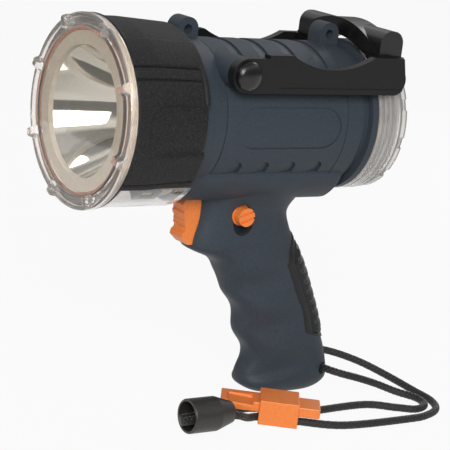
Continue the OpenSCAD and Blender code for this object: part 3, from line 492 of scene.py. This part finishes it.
def rubber_bumper():
    """The outer skin over the top and sides, its inner wall, and the lip in front of the flood window."""
    stations = [BUMPER_FRONT + (BUMPER_REAR - BUMPER_FRONT) * k / 92 for k in range(93)]
    turns = [WINDOW_EDGE + (180 - 2 * WINDOW_EDGE) * k / 520 for k in range(521)]
    rings = []
    for angle in turns:
        a = math.radians(angle)
        ring = [(x, bumper_radius(x, angle)) for x in stations]
        ring += [(BUMPER_REAR, BUMPER_BORE), (BUMPER_FRONT, BUMPER_BORE)]
        rings.append([at(x, -r * math.cos(a), r * math.sin(a)) for x, r in ring])
    sides = len(rings[0])
    points = [p for ring in rings for p in ring]
    faces = [tuple(reversed(f)) for f in tube_faces(len(rings), sides)]
    skin = new_piece("bumper_skin", points, faces, FINISH["head_bumper"], "lamp")
    lip_section = [(BUMPER_FRONT, BUMPER_BORE), (BUMPER_FRONT, RIM - 1.2), (BUMPER_FRONT + 0.5, RIM - 0.5),
                   (BUMPER_FRONT + 1.4, RIM - 0.4), (BUMPER_FRONT + 1.4, BUMPER_BORE)]
    points = []
    for k in range(101):
        a = math.radians(180 - WINDOW_EDGE + (180 + 2 * WINDOW_EDGE) * k / 100)
        points += [at(x, -r * math.cos(a), r * math.sin(a)) for x, r in lip_section]
    lip = new_piece("bumper_lip", points, [tuple(reversed(f)) for f in tube_faces(101, len(lip_section))],
                    FINISH["head_bumper"], "lamp", smooth=False)
    for piece in (skin, lip):
        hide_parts("head_bumper")
        crisp(piece, 40)


rubber_bumper()


# The front lens: a clear window, and round it a flange with a bead, a groove and finger lugs
LUG_COUNT, LUG_FIRST, LUG_HALF, LUG_OUT = 8, 20.25, 2.4, 2.9
WINDOW_EDGE_R, WINDOW_SET = 44.0, 0.7
GROOVE_IN, GROOVE_OUT, GROOVE_DEPTH = 6.4, 2.2, 2.2
RIM_ROUND, RIM_DROP = 1.2, 0.9
LENS_COUNT = 640
LENS_MIDDLE_R, LENS_STEP_R = 30.0, 42.8
WINDOW_BACK, FLANGE_BACK, FLANGE_CHAMFER = 3.2, 4.98, 0.4


def lens_face(r, angle):
    """How far back the lens's front lies, by radius and angle from the top: bead, groove, rim and lugs."""
    step = 360 / LUG_COUNT
    turn = (angle - LUG_FIRST + step / 2) % step - step / 2
    back = WINDOW_SET - WINDOW_SET * ramp(r, WINDOW_EDGE_R + 0.3, 0.9)
    back += GROOVE_DEPTH * ramp(r, RIM - GROOVE_IN, 0.8) * (1 - ramp(r, RIM - GROOVE_OUT, 0.9))
    back += RIM_DROP * max(0.0, (r - RIM + RIM_ROUND) / RIM_ROUND) ** 2
    lug = (1 - ramp(abs(turn) * math.pi / 180 * r, LUG_HALF, 1.4)) * ramp(r, RIM - 6.8, 1.2)
    lug *= 1 - 0.25 * max(0.0, (r - RIM + 2) / 2) ** 2
    return back + lug * (-LUG_OUT - back)


def lens_ring():
    radii = [LENS_MIDDLE_R, 38.0, 43.4] + [WINDOW_EDGE_R - 0.3 + 0.25 * k for k in range(34)]
    radii = [r for r in radii if r < RIM - 0.05] + [RIM]
    angles = [360 * k / LENS_COUNT for k in range(LENS_COUNT)]
    rings = [[(lens_face(r, angle), r, angle) for angle in angles] for r in radii]
    rear_face = [(WINDOW_BACK, RIM), (4.6, RIM), (FLANGE_BACK, RIM - FLANGE_CHAMFER),
                 (FLANGE_BACK, LENS_STEP_R), (WINDOW_BACK, LENS_STEP_R), (WINDOW_BACK, LENS_MIDDLE_R)]
    rings += [[(back, r, angle) for angle in angles] for back, r in rear_face]
    points = []
    for ring in rings:
        for x, r, angle in ring:
            turn = math.radians(angle)
            points.append(at(x, -r * math.sin(turn), r * math.cos(turn)))
    lens = new_piece("lens_with_flange", points, tube_faces(len(rings), LENS_COUNT), clear, "lamp")
    face_out(lens.data)
    lens.data.materials.append(flange_clear)
    for face in lens.data.polygons:
        middle = face.center
        reach = math.hypot(middle.y, middle.z - BEAM_HEIGHT) / MM
        face.material_index = 1 if reach > WINDOW_EDGE_R else 0
    crisp(lens, 50)
    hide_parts("front_lens")


lens_ring()


# The reflector as a smooth bowl, so that no facets show in what it mirrors
MIRROR_MOUTH, MIRROR_HOLE = 35.0, 6.0
MIRROR_WALL, MIRROR_FLANGE = 1.5, 1.5
MIRROR_COLLAR, MIRROR_NECK = 13.0, 1.4


def reflector_bowl():
    front, board = [(corner.x - LENS_FRONT) / MM for corner in (mirror_low, mirror_high)]
    edge = (mirror_high.y - mirror_low.y) / 2 / MM
    base = board - MIRROR_NECK
    steps, count = 48, 256
    inner = []
    for k in range(steps + 1):
        share = 1 - k / steps
        inner.append((base - (base - front) * share,
                      math.sqrt(MIRROR_HOLE ** 2 + (MIRROR_MOUTH ** 2 - MIRROR_HOLE ** 2) * share)))
    outer = [(x, r + MIRROR_WALL) for x, r in reversed(inner) if x > front + MIRROR_FLANGE]
    section = inner + [(board, MIRROR_HOLE), (board, MIRROR_COLLAR), (base, MIRROR_COLLAR)] + outer
    section += [(front + MIRROR_FLANGE, edge), (front, edge)]
    turns = [2 * math.pi * k / count for k in range(count)]
    points = [at(x, r * math.sin(a), r * math.cos(a)) for x, r in section for a in turns]
    faces = []
    for i in range(len(section)):
        ahead = (i + 1) % len(section)
        for k in range(count):
            beside = (k + 1) % count
            faces.append((i * count + k, i * count + beside, ahead * count + beside, ahead * count + k))
    bowl = new_piece("reflector_bowl", points, faces, FINISH["reflector"], "lamp")
    face_out(bowl.data)
    crisp(bowl, 40)
    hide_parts("reflector")


reflector_bowl()


# A dark frame and a lens over each flood LED, up to the window: angles are from straight down
TRAY_FLOOR, FRAME_TOP = 41.0, 48.3
LED_LENS_LOW, LED_LENS_TOP = 42.6, 46.8
FRAME_ENDS, FRAME_TURNS = (21.5, 35.5), (33.4, 44.6)
LENS_ENDS, LENS_TURNS = (24.4, 32.6), (35.4, 43.0)
LED_GAP = 0.2


def arc_block(points, faces, r0, r1, x0, x1, a0, a1, side):
    """Adds one curved block to lists of points and faces."""
    first = len(points)
    steps = 6
    for k in range(steps + 1):
        a = math.radians(a0 + (a1 - a0) * k / steps)
        corners = ((x0, r0), (x1, r0), (x1, r1), (x0, r1))
        points += [at(x, side * r * math.sin(a), -r * math.cos(a)) for x, r in corners]
    faces += [tuple(first + i for i in face) for face in tube_faces(steps + 1, 4)]


def led_frames():
    (front, rear), (low, high) = FRAME_ENDS, FRAME_TURNS
    (lens_front, lens_rear), (lens_low, lens_high) = LENS_ENDS, LENS_TURNS
    floor = TRAY_FLOOR + 0.05
    bars = [(floor, front, lens_front, low, high), (floor, lens_rear, rear, low, high),
            (floor, lens_front, lens_rear, low, lens_low),
            (LED_LENS_LOW, lens_front, lens_rear, lens_high, high)]
    points, faces = [], []
    lens_points, lens_faces = [], []
    for side in (-1, 1):
        for bottom, *bar in bars:
            arc_block(points, faces, bottom, FRAME_TOP, *bar, side)
        arc_block(lens_points, lens_faces, LED_LENS_LOW, LED_LENS_TOP, lens_front + LED_GAP,
                  lens_rear - LED_GAP, lens_low + LED_GAP, lens_high - LED_GAP, side)
    grey = plain("led_frame_abs_grey", ("#262627", "#333335"), 0.4, 1.5, 0.02)
    phosphor = FINISH["flood_leds"]
    frames = new_piece("flood_led_frames", points, faces, grey, "lamp", smooth=False)
    lenses = new_piece("flood_led_lenses", lens_points, lens_faces, phosphor, "lamp", smooth=False)
    for piece, slot in ((frames, "black_plastic"), (lenses, "led_yellow")):
        face_out(piece.data)


led_frames()


# The grip: its outline is by depth below the beam's axis, then distance back from the lens
GRIP_FRONT = [(36, 80), (58, 80.5), (73, 77.5), (77, 79.5), (84, 96), (92, 102.5), (102, 107.5), (128, 120),
              (146, 126.5), (160, 125.5), (166, 130)]
GRIP_REAR = [(36, 154), (46, 147), (55, 142.2), (64, 145), (76, 152), (92, 161), (110, 169.7), (128, 177.6),
             (146, 185), (158, 187.5), (166, 184)]
GRIP_HALF, GRIP_TOP, GRIP_END, HEEL_ROUND = 16.2, 40.0, 166.0, 10.0
FINGER_TOP, FINGER_PITCH, FINGER_DEPTH = 102.0, 26.0, 4.6
FLUTE_DEPTH, FLUTE_SLOPE, FLUTE_REACH = 3.6, 0.22, 0.55
FLARE, FLARE_LOW, FLARE_HEIGHT = 8.0, 56.0, 16.0
SKIN_POWER = 0.77
STRAP_TOP, STRAP_END, STRAP_TURN = 68.0, 134.0, 73.0
KEEL_FRONT, KEEL_REAR = 51.8, 158.2
KEEL_EDGE, KEEL_SWELL, KEEL_LOW = 48.0, 7.2, 46.3
KEEL_SHOULDER, KEEL_POWER, KEEL_ROUND, KEEL_DROP, KEEL_WALL = 26.0, 0.55, 1.5, 1.2, 1.5
BARREL = 41.1


def curve_at(points, d):
    """A smooth curve through points of (depth, value)."""
    i = 0
    while i < len(points) - 2 and d > points[i + 1][0]:
        i += 1
    slope = []
    for k in (i, i + 1):
        a, b = points[max(k - 1, 0)], points[min(k + 1, len(points) - 1)]
        slope.append((b[1] - a[1]) / (b[0] - a[0]))
    h = points[i + 1][0] - points[i][0]
    t = (d - points[i][0]) / h
    return ((2 * t ** 3 - 3 * t ** 2 + 1) * points[i][1] + (t ** 3 - 2 * t ** 2 + t) * slope[0] * h
            + (3 * t ** 2 - 2 * t ** 3) * points[i + 1][1] + (t ** 3 - t ** 2) * slope[1] * h)


def finger_wave(d):
    """The finger grooves of the grip's front: 0 on a ridge and 1 in a groove."""
    if d < FINGER_TOP or d > FINGER_TOP + 2 * FINGER_PITCH:
        return 0.0
    return (1 - math.cos(2 * math.pi * (d - FINGER_TOP) / FINGER_PITCH)) / 2


def flute_wave(d):
    """Hollows for four fingers along the side: deepest between the ridges of the grip's front."""
    low = FINGER_TOP - FINGER_PITCH * 0.9
    high = FINGER_TOP + 2.3 * FINGER_PITCH
    fade = ramp(d, low + 3, 8.0) * (1 - ramp(d, high - 3, 8.0))
    return fade * (1 + math.cos(2 * math.pi * (d - FINGER_TOP) / FINGER_PITCH)) / 2


def heel_in(d):
    """How far the round of the heel draws the skin in at a depth."""
    if d <= GRIP_END - HEEL_ROUND:
        return 0.0
    return HEEL_ROUND * (1 - math.sqrt(max(0.0, 1 - ((d - GRIP_END + HEEL_ROUND) / HEEL_ROUND) ** 2)))


def signed_power(value, power):
    """A power of a value's size, with the value's sign."""
    return math.copysign(abs(value) ** power, value)


def grip_point(d, turn, grow=0.0):
    """A point of the grip's skin in mm: its depth, its angle from the rear, and how far it stands out."""
    front = curve_at(GRIP_FRONT, d) + FINGER_DEPTH * finger_wave(d)
    rear = curve_at(GRIP_REAR, d)
    half = (rear - front) / 2 + grow - heel_in(d)
    flare = FLARE * max(0.0, (FLARE_LOW - d) / FLARE_HEIGHT) ** 2
    width = GRIP_HALF + flare + grow - heel_in(d)
    t = math.radians(turn)
    x = (front + rear) / 2 + half * signed_power(math.cos(t), SKIN_POWER)
    share = min(1.0, max(0.0, (x - front) / (rear - front)))
    hollow = FLUTE_DEPTH * flute_wave(d + FLUTE_SLOPE * (x - front)) * (1 - ramp(share, FLUTE_REACH, 0.5))
    return (x, width * signed_power(math.sin(t), SKIN_POWER) * (1 - hollow / GRIP_HALF), -d)


def keel_radius(x, angle):
    """The keel's outer radius at an angle from straight down: a boat-shaped swelling, flat underneath."""
    swell = KEEL_SWELL * min(1.0, max(0.0, KEEL_EDGE - angle) / KEEL_SHOULDER) ** KEEL_POWER
    ends = min(1.0, (KEEL_REAR - x) / KEEL_ROUND, (x - KEEL_FRONT) / KEEL_ROUND)
    radius = BARREL + swell - KEEL_DROP * (1 - math.sqrt(max(0.0, 1 - (1 - ends) ** 2)))
    return min(radius, KEEL_LOW / math.cos(math.radians(angle)))


def half_solid(side, grid):
    """Closes a grid of points, one half of a form, on the joint face between the halves."""
    points = [at(x, side * y, z) for row in grid for x, y, z in row]
    faces = tube_faces(len(grid), len(grid[0]))
    return points, faces if side > 0 else [face[::-1] for face in faces]


def slot_cutter(name, outline, low, high):
    """A prism across the lamp: its outline is in x and z, and it runs from one y to another."""
    n = len(outline)
    points = [at(x, y, z) for y in (low, high) for x, z in outline]
    faces = [tuple(range(n)), tuple(range(2 * n - 1, n - 1, -1))]
    faces += [(k, n + k, n + (k + 1) % n, (k + 1) % n) for k in range(n)]
    mesh = bpy.data.meshes.new(name)
    mesh.from_pydata(points, [], faces)
    cutter = bpy.data.objects.new(name, mesh)
    bpy.context.scene.collection.objects.link(cutter)
    return cutter


def cut(piece, cutters):
    """Takes the cutters out of a piece for good."""
    face_out(piece.data)
    for cutter in cutters:
        face_out(cutter.data)
        away = piece.modifiers.new("cut", "BOOLEAN")
        away.object = cutter
        away.operation = "DIFFERENCE"
        away.solver = "EXACT"
    solid = bpy.data.meshes.new_from_object(piece.evaluated_get(bpy.context.evaluated_depsgraph_get()))
    piece.modifiers.clear()
    piece.data = solid
    for cutter in cutters:
        bpy.data.objects.remove(cutter)


def round_outline(x, z, radius, count=40, drop=0.0, tilt=0.0):
    """A circle, or an obround that is drawn out downwards and tilted back."""
    outline = []
    for k in range(count):
        a = 2 * math.pi * k / count
        across = radius * math.cos(a)
        up = radius * math.sin(a) - (drop if math.sin(a) < 0 else 0.0)
        outline.append((x + across * math.cos(tilt) - up * math.sin(tilt),
                        z + across * math.sin(tilt) + up * math.cos(tilt)))
    return outline


KNOB_PLACE, KNOB_COLLAR, KNOB_TRAVEL = (103.0, -55.2), 5.9, 6.0
KNOB_TILT, KNOB_PLAY = math.radians(18), 0.3
SCREW_R, SCREW_SEAT = 3.4, 13
PAST_SKIN = 40
SCREW_PLACES = [(141, -108), (160, -142), (120, -53), (131, -53)]
TRIGGER_SLOT = [(66, -74.3), (97.5, -74.3), (97.5, -39), (66, -39)]
TRIGGER_HALF = 6.3


def grip_skin(name, side):
    """The skin of one half of the grip, with its finger hollows and the ways through it."""
    straight = GRIP_END - HEEL_ROUND
    depths = [GRIP_TOP + (straight - GRIP_TOP) * k / 105 for k in range(106)]
    depths += [straight + HEEL_ROUND * math.sin(math.radians(4.4 * k)) for k in range(1, 20)]
    turns = [180 * k / 44 for k in range(45)]
    points, faces = half_solid(side, [[grip_point(d, turn) for turn in turns] for d in depths])
    shell = new_piece(name, points, faces, slate, "lamp")
    heel_hole = round_outline(*HEEL_BORE, HEEL_BORE_R)
    cutters = [slot_cutter("trigger_way", TRIGGER_SLOT, -TRIGGER_HALF, TRIGGER_HALF),
               slot_cutter("cord_way", heel_hole, -PAST_SKIN, PAST_SKIN)]
    if side < 0:
        slot = round_outline(*KNOB_PLACE, KNOB_COLLAR + KNOB_PLAY, 48, KNOB_TRAVEL, KNOB_TILT)
        cutters.append(slot_cutter("knob_way", slot, -PAST_SKIN, -8))
    else:
        for place in SCREW_PLACES:
            cutters.append(slot_cutter("screw_way", round_outline(*place, SCREW_R), SCREW_SEAT, PAST_SKIN))
    cut(shell, cutters)
    return shell


def grip_keel(name, side):
    """One half of the keel, which lies along the barrel above the grip."""
    rounding = (0.0, 0.15, 0.5, 1.0, KEEL_ROUND)
    length = KEEL_REAR - KEEL_FRONT - 2 * KEEL_ROUND
    stations = [KEEL_FRONT + back for back in rounding]
    stations += [KEEL_FRONT + KEEL_ROUND + length * k / 60 for k in range(1, 60)]
    stations += [KEEL_REAR - back for back in reversed(rounding)]
    angles = [KEEL_EDGE * (1 - (1 - j / 40) ** 2) for j in range(41)]
    edge, inside = math.radians(KEEL_EDGE), BARREL - KEEL_WALL
    rows = []
    for x in stations:
        row = []
        for angle in angles:
            radius, turn = keel_radius(x, angle), math.radians(angle)
            row.append((x, radius * math.sin(turn), -radius * math.cos(turn)))
        rows.append(row + [(x, inside * math.sin(edge), -inside * math.cos(edge)), (x, 0.0, -inside)])
    points, faces = half_solid(side, rows)
    keel = new_piece(name, points, faces, slate, "lamp")
    face_out(keel.data)
    return keel


def grip_shell(name, node, side):
    """One half of the grip: its skin, and the keel above it."""
    for piece in (grip_skin(name, side), grip_keel(name + "_keel", side)):
        crisp(piece, 38)
        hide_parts(node)


grip_shell("grip_shell_left", "grip_left", -1)
grip_shell("grip_shell_right", "grip_right", 1)


# The backstrap: heights and widths across it are in mm, along the skin
STRAP_ROUND_TOP, STRAP_ROUND_END = 18, 6
STRAP_SINK, BORDER_RISE = -0.6, 1.3
INNER_GROOVE, INNER_GROOVE_DEPTH = 3.9, 0.75
STRIP_EDGE, STRIP_RISE = 4.6, 0.35
RIB_PITCH, RIB_SLANT, RIB_TURN, RIB_EDGE = 6.4, 0.09, 58, 5.8
RIB_RISE, RIB_SINK = 1.1, 0.5
STRAP_BEND_R = 15
STRAP_DEPTH = 2.0


def strap_turn(d):
    """How far round the grip the backstrap reaches at a depth, in degrees from the rear."""
    top = math.sqrt(min(1.0, max(0.02, (d - STRAP_TOP) / STRAP_ROUND_TOP)))
    low = math.sqrt(min(1.0, max(0.02, (STRAP_END - d) / STRAP_ROUND_END)))
    return STRAP_TURN * top * low


def strap_height(d, turn, edge):
    """How far the backstrap stands out: a rounded border, a groove, and an inner strip with slanted ribs."""
    inwards = (edge - abs(turn)) / 180 * math.pi * STRAP_BEND_R
    inwards = min(inwards, (d - STRAP_TOP) * 0.8 + 0.2, (STRAP_END - d) + 0.2)
    height = STRAP_SINK + BORDER_RISE * ramp(inwards, 0.3, 1.2)
    height -= INNER_GROOVE_DEPTH * groove(inwards, INNER_GROOVE, 0.55)
    strip = ramp(inwards, STRIP_EDGE, 1.0)
    rib = math.cos(2 * math.pi * (d - RIB_SLANT * abs(turn)) / RIB_PITCH)
    ribbed = strip * (1 - ramp(abs(turn), RIB_TURN, 10)) * ramp(inwards, RIB_EDGE, 1.6)
    return height + STRIP_RISE * strip + ribbed * (RIB_RISE * ramp(rib, -0.15, 0.7) - RIB_SINK)


def rubber_backstrap():
    rows = []
    for k in range(241):
        d = STRAP_TOP + 0.15 + (STRAP_END - STRAP_TOP - 0.3) * k / 240
        edge = strap_turn(d)
        row = []
        for j in range(-40, 41):
            turn = edge * j / 40
            row.append(grip_point(d, turn, strap_height(d, turn, edge)))
        row += [grip_point(d, edge * j / 4, -STRAP_DEPTH) for j in range(4, -5, -1)]
        rows.append(row)
    points = [at(x, -y, z) for row in rows for x, y, z in row]
    faces = tube_faces(len(rows), len(rows[0]))
    strap = new_piece("ribbed_backstrap", points, faces, FINISH["backstrap"], "lamp")
    crisp(strap, 50)
    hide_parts("backstrap")


rubber_backstrap()


# The floor, the studio's light and the camera: places are in metres and powers in watts
FLOOR_FRONT, FLOOR_REACH, FLOOR_WHITE = -0.55, 3.0, 0.93
FILL_STRENGTH = 0.3
KEY_PLACE, KEY_TARGET, KEY_SIZE, KEY_POWER = (-0.85, -1.15, 0.7), (0, 0, 0.05), (0.7, 0.7), 18
STRIP_PLACE, STRIP_TARGET, STRIP_SIZE, STRIP_POWER = (0.9, 0.5, 0.6), (0, 0, 0.1), (0.25, 0.9), 2
# The room in reflections, from straight down at 0 to straight up at 1: white softboxes over grey walls
ROOM_TONES = [(0.0, "#8a8a8a"), (0.5, "#7c7c7c"), (0.66, "#8c8c8c"), (0.76, "#ffffff"), (0.84, "#ffffff"),
              (0.88, "#8a8a8a"), (0.95, "#a0a0a0")]


def seen_rays(tree):
    """1 on the rays that show the background: first straight or through something clear, then in a mirror."""
    path = add(tree, "LightPath").outputs
    direct = add(tree, "Math", {0: path["Is Camera Ray"], 1: path["Is Transmission Ray"]},
                 operation="MAXIMUM")
    bounced = add(tree, "Math", {0: path["Glossy Depth"], 1: 1.0}, operation="MINIMUM")
    mirrored = add(tree, "Math", {0: path["Is Glossy Ray"], 1: bounced.outputs["Value"]},
                   operation="MAXIMUM")
    return direct.outputs["Value"], mirrored.outputs["Value"]


def pale_floor():
    """White paper: mostly plain white where it is seen as the background, with the object's shadow on it."""
    mesh = bpy.data.meshes.new("floor")
    front, reach, height = FLOOR_FRONT, FLOOR_REACH, BEAM_HEIGHT + (FLOOR - 0.1) * MM
    corners = [(front, -reach, height), (reach, -reach, height), (reach, reach, height),
               (front, reach, height)]
    mesh.from_pydata(corners, [], [(0, 1, 2, 3)])
    floor = bpy.data.objects.new("floor", mesh)
    bpy.context.scene.collection.objects.link(floor)
    material, tree, shader, _ = finish_of("floor_white_paper", "#c8c8c8", 0.9)
    direct, mirrored = seen_rays(tree)
    seen = add(tree, "Math", {0: direct, 1: mirrored}, operation="MAXIMUM")
    share = add(tree, "Math", {0: seen.outputs["Value"], 1: FLOOR_WHITE}, operation="MULTIPLY")
    white = add(tree, "Emission", {"Color": linear("#ffffff"), "Strength": 1.0})
    mix = add(tree, "MixShader", {0: share.outputs["Value"], 1: shader.outputs["BSDF"],
                                  2: white.outputs["Emission"]})
    tree.links.new(mix.outputs["Shader"], tree.nodes["Material Output"].inputs["Surface"])
    mesh.materials.append(material)


def area_light(name, place, target, size, power):
    data = bpy.data.lights.new(name, "AREA")
    data.shape = "RECTANGLE"
    data.size, data.size_y = size
    data.energy = power
    light = bpy.data.objects.new(name, data)
    light.location = place
    light.rotation_euler = (Vector(target) - Vector(place)).to_track_quat("-Z", "Y").to_euler()
    bpy.context.scene.collection.objects.link(light)


def studio():
    """White where the background shows, white softboxes over a grey room in reflections, and a weak fill."""
    world = bpy.data.worlds.new("studio")
    bpy.context.scene.world = world
    world.use_nodes = True
    tree = world.node_tree
    fill = tree.nodes["Background"]
    fill.inputs["Color"].default_value = linear("#ffffff")
    fill.inputs["Strength"].default_value = FILL_STRENGTH
    white = add(tree, "Background", {"Color": linear("#ffffff"), "Strength": 1.0})
    place = add(tree, "TexCoord")
    height = add(tree, "SeparateXYZ", {0: place.outputs["Generated"]})
    share = add(tree, "MapRange", {"Value": height.outputs["Z"], "From Min": -1.0, "From Max": 1.0})
    room = add(tree, "ValToRGB", {"Fac": share.outputs["Result"]})
    stops = room.color_ramp.elements
    while len(stops) < len(ROOM_TONES):
        stops.new(1.0)
    for stop, (where, tone) in zip(stops, ROOM_TONES):
        stop.position = where
        stop.color = linear(tone)
    mirrored_room = add(tree, "Background", {"Color": room.outputs["Color"], "Strength": 1.0})
    direct, mirrored = seen_rays(tree)
    plain_view = add(tree, "MixShader", {0: direct, 1: fill.outputs["Background"],
                                         2: white.outputs["Background"]})
    whole = add(tree, "MixShader", {0: mirrored, 1: plain_view.outputs["Shader"],
                                    2: mirrored_room.outputs["Background"]})
    tree.links.new(whole.outputs["Shader"], tree.nodes["World Output"].inputs["Surface"])
    area_light("key_softbox", KEY_PLACE, KEY_TARGET, KEY_SIZE, KEY_POWER)
    area_light("rear_strip", STRIP_PLACE, STRIP_TARGET, STRIP_SIZE, STRIP_POWER)
    bpy.context.scene.view_settings.view_transform = "Standard"


AZIMUTH, ELEVATION, ROLL = math.radians(-36.14), math.radians(13.16), math.radians(7.25)
TARGET = at(97.4, -9.0, -62.4)
DISTANCE = 0.99984
LENS_MM, SENSOR_MM = 143.23, 36


def photo_camera():
    level = Vector((math.cos(AZIMUTH), math.sin(AZIMUTH), 0))
    away = Vector((math.sin(AZIMUTH), -math.cos(AZIMUTH), 0))
    back = away * math.cos(ELEVATION) + Vector((0, 0, math.sin(ELEVATION)))
    upright = back.cross(level)
    right = level * math.cos(ROLL) + upright * math.sin(ROLL)
    up = back.cross(right)
    data = bpy.data.cameras.new("photo_camera")
    data.lens = LENS_MM
    data.sensor_width = SENSOR_MM
    data.clip_start = 0.05
    camera = bpy.data.objects.new("photo_camera", data)
    place = TARGET + back * DISTANCE
    camera.matrix_world = Matrix(((right.x, up.x, back.x, place.x), (right.y, up.y, back.y, place.y),
                                  (right.z, up.z, back.z, place.z), (0, 0, 0, 1)))
    bpy.context.scene.collection.objects.link(camera)
    bpy.context.scene.camera = camera


pale_floor()
studio()
photo_camera()
